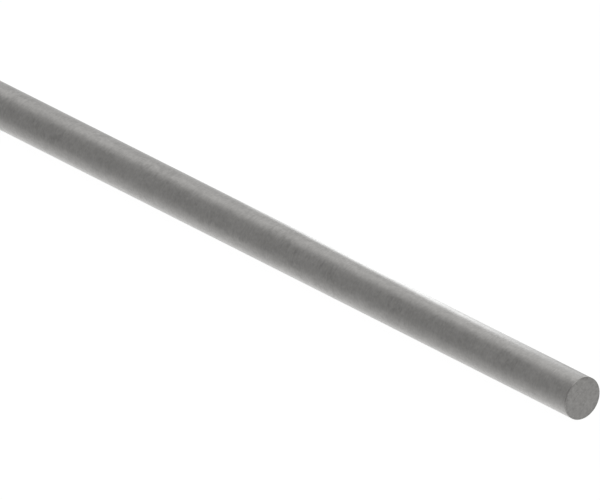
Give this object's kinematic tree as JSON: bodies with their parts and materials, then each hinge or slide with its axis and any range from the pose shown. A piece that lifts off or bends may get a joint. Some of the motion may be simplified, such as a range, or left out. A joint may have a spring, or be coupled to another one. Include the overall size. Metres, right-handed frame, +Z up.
{
  "type": "round metal bar",
  "caption": "Solid round steel bar with a smooth satin surface and square sawn ends whose edges are lightly broken; raw stock for shafts, pins, rails and frames.",
  "frame": {"origin": "on the level surface that the bar lies on, straight below the middle of the bar", "axes": "+X along the bar's axis, +Z up; the bar is the same both ways round"},
  "size_m": [0.5, 0.02, 0.02],
  "materials": {
    "bar_steel": "satin bright-drawn steel, bare and clean, with a fine grain that runs round the bar and plain sawn ends"
  },
  "bodies": {
    "root": {"round_bar": "bar_steel"}
  },
  "joints": []
}
